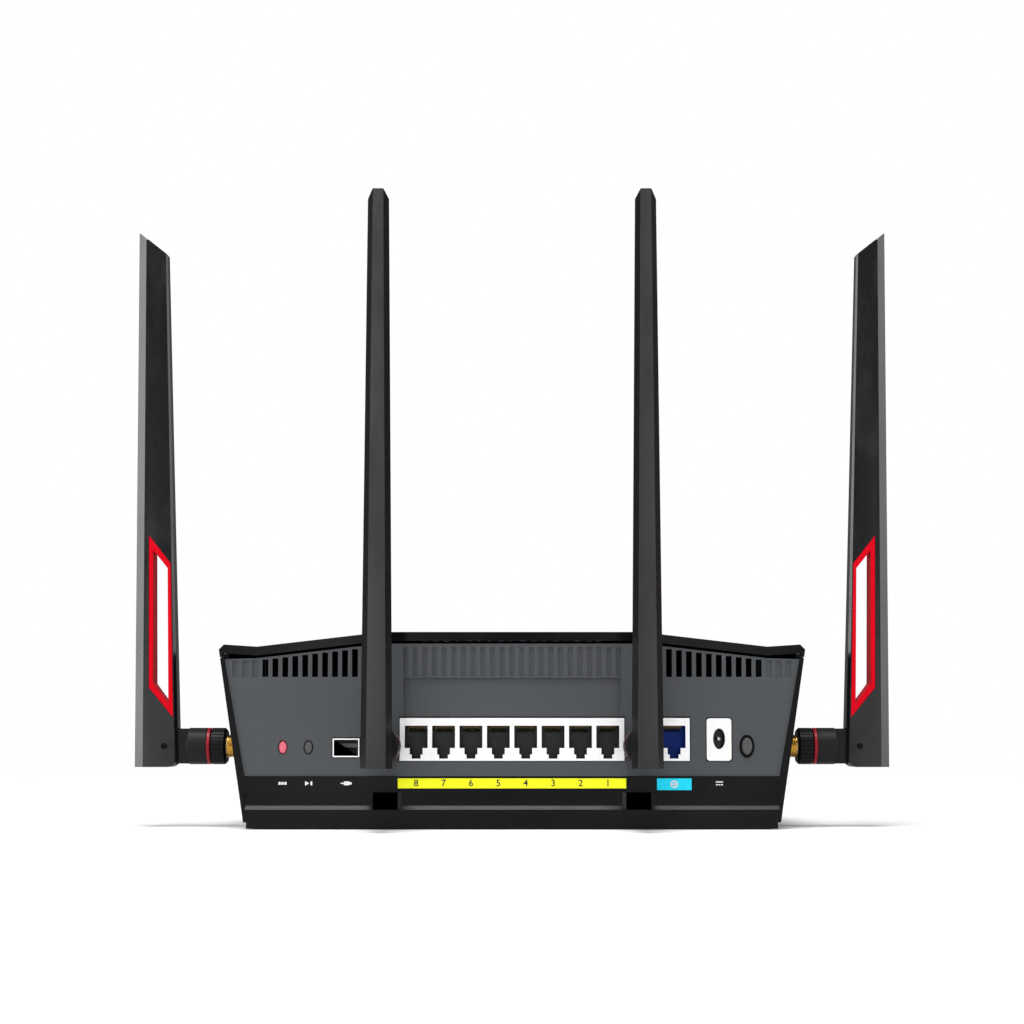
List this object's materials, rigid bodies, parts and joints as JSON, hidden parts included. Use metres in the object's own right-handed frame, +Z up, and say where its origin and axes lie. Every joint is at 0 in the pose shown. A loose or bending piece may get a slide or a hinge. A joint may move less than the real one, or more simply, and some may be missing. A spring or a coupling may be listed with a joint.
{
  "type": "wireless router",
  "caption": "Desktop wireless router with a wedge case, upright blade aerials on swivel hinges with red windows, and a rear panel of network, USB and power sockets.",
  "frame": {"origin": "centre of the bounding box's base, on the table plane", "axes": "+X towards the USB end, +Y out of the rear panel with the sockets, +Z up"},
  "size_m": [0.399, 0.2406, 0.3166],
  "materials": {
    "case_black": "fine moulded texture",
    "panel_grey": "satin moulded",
    "gloss_black": "gloss",
    "red_trim": "gloss",
    "dark_red": "satin",
    "gold": "plated",
    "steel": "tinned sheet",
    "socket_black": "moulded",
    "socket_blue": "moulded",
    "white_plastic": "satin",
    "button_grey": "moulded",
    "reset_red": "moulded",
    "yellow_label": "printed film",
    "blue_label": "printed film",
    "board_green": "solder mask",
    "chip_black": "moulded epoxy",
    "aluminium_fins": "extruded",
    "contact_gold": "plated",
    "rubber_black": "matt",
    "lens": "clear",
    "coax_grey": "jacket",
    "radiator_board": "solder mask"
  },
  "bodies": {
    "housing": {"top_cover": "case_black", "bottom_cover": "case_black", "rear_panel": "panel_grey", "light_pipe": "lens", "rubber_feet": "rubber_black", "board_screws": "steel", "case_screws": "steel", "lan_label_strip": "yellow_label", "wan_label_strip": "blue_label", "lan_socket_block": "socket_black", "lan_shield": "steel", "wan_socket_block": "socket_blue", "wan_shield": "steel", "socket_contacts": "contact_gold", "usb_shell": "steel", "usb_tongue": "socket_black", "dc_jack": "white_plastic", "dc_jack_pin": "steel", "power_switch": "gloss_black", "tact_switches": "chip_black", "main_board": "board_green", "processor": "chip_black", "heatsink": "aluminium_fins", "radio_shield_cans": "steel", "port_transformers": "chip_black", "capacitors": "aluminium_fins", "aerial_connectors": "gold", "connector_nuts": "steel", "coax_leads": "coax_grey"},
    "power_button": {"power_button": "button_grey"},
    "reset_button": {"reset_button": "reset_red"},
    "pairing_button": {"pairing_button": "button_grey"},
    "left_side_nut": {"left_side_coupling_nut": "case_black"},
    "left_side_swivel": {"left_side_swivel_ring": "dark_red", "left_side_swivel_barrel": "case_black"},
    "left_side_aerial": {"left_side_blade": "case_black", "left_side_window_frame": "red_trim", "left_side_hinge_pin": "steel", "left_side_radiator": "radiator_board"},
    "right_side_nut": {"right_side_coupling_nut": "case_black"},
    "right_side_swivel": {"right_side_swivel_ring": "dark_red", "right_side_swivel_barrel": "case_black"},
    "right_side_aerial": {"right_side_blade": "case_black", "right_side_window_frame": "red_trim", "right_side_hinge_pin": "steel", "right_side_radiator": "radiator_board"},
    "left_rear_nut": {"left_rear_coupling_nut": "case_black"},
    "left_rear_swivel": {"left_rear_swivel_ring": "dark_red", "left_rear_swivel_barrel": "case_black"},
    "left_rear_aerial": {"left_rear_blade": "case_black", "left_rear_window_frame": "red_trim", "left_rear_hinge_pin": "steel", "left_rear_radiator": "radiator_board"},
    "right_rear_nut": {"right_rear_coupling_nut": "case_black"},
    "right_rear_swivel": {"right_rear_swivel_ring": "dark_red", "right_rear_swivel_barrel": "case_black"},
    "right_rear_aerial": {"right_rear_blade": "case_black", "right_rear_window_frame": "red_trim", "right_rear_hinge_pin": "steel", "right_rear_radiator": "radiator_board"}
  },
  "joints": [
    {"name": "power_button_press", "type": "slide", "parent": "housing", "child": "power_button", "axis": [0, -1, 0], "range_m": [0, 0.0015], "stiffness_N_per_m": 800, "springref_m": -0.0005},
    {"name": "reset_button_press", "type": "slide", "parent": "housing", "child": "reset_button", "axis": [0, -1, 0], "range_m": [0, 0.0005], "stiffness_N_per_m": 1500, "springref_m": -0.0002},
    {"name": "pairing_button_press", "type": "slide", "parent": "housing", "child": "pairing_button", "axis": [0, -1, 0], "range_m": [0, 0.0005], "stiffness_N_per_m": 1500, "springref_m": -0.0002},
    {"name": "left_side_nut_spin", "type": "hinge", "parent": "housing", "child": "left_side_nut", "pos_m": [0.1541, 0.033, 0.0424], "axis": [1, 0, 0], "continuous": true},
    {"name": "left_side_swivel_turn", "type": "hinge", "parent": "housing", "child": "left_side_swivel", "pos_m": [0.1581, 0.033, 0.0424], "axis": [-1, 0, 0], "range_deg": [-90, 90]},
    {"name": "left_side_tilt", "type": "hinge", "parent": "left_side_swivel", "child": "left_side_aerial", "pos_m": [0.1824, 0.033, 0.0424], "axis": [0, 1, 0], "range_deg": [0, 90]},
    {"name": "right_side_nut_spin", "type": "hinge", "parent": "housing", "child": "right_side_nut", "pos_m": [-0.1541, 0.033, 0.0424], "axis": [-1, 0, 0], "continuous": true},
    {"name": "right_side_swivel_turn", "type": "hinge", "parent": "housing", "child": "right_side_swivel", "pos_m": [-0.1581, 0.033, 0.0424], "axis": [-1, 0, 0], "range_deg": [-90, 90]},
    {"name": "right_side_tilt", "type": "hinge", "parent": "right_side_swivel", "child": "right_side_aerial", "pos_m": [-0.1824, 0.033, 0.0424], "axis": [0, -1, 0], "range_deg": [0, 90]},
    {"name": "left_rear_nut_spin", "type": "hinge", "parent": "housing", "child": "left_rear_nut", "pos_m": [0.066, 0.07565, 0.0424], "axis": [0, 1, 0], "continuous": true},
    {"name": "left_rear_swivel_turn", "type": "hinge", "parent": "housing", "child": "left_rear_swivel", "pos_m": [0.066, 0.07965, 0.0424], "axis": [0, 1, 0], "range_deg": [-25, 90]},
    {"name": "left_rear_tilt", "type": "hinge", "parent": "left_rear_swivel", "child": "left_rear_aerial", "pos_m": [0.066, 0.10395, 0.0424], "axis": [-1, 0, 0], "range_deg": [0, 90]},
    {"name": "right_rear_nut_spin", "type": "hinge", "parent": "housing", "child": "right_rear_nut", "pos_m": [-0.066, 0.07565, 0.0424], "axis": [0, 1, 0], "continuous": true},
    {"name": "right_rear_swivel_turn", "type": "hinge", "parent": "housing", "child": "right_rear_swivel", "pos_m": [-0.066, 0.07965, 0.0424], "axis": [0, 1, 0], "range_deg": [-90, 25]},
    {"name": "right_rear_tilt", "type": "hinge", "parent": "right_rear_swivel", "child": "right_rear_aerial", "pos_m": [-0.066, 0.10395, 0.0424], "axis": [-1, 0, 0], "range_deg": [0, 90]}
  ]
}
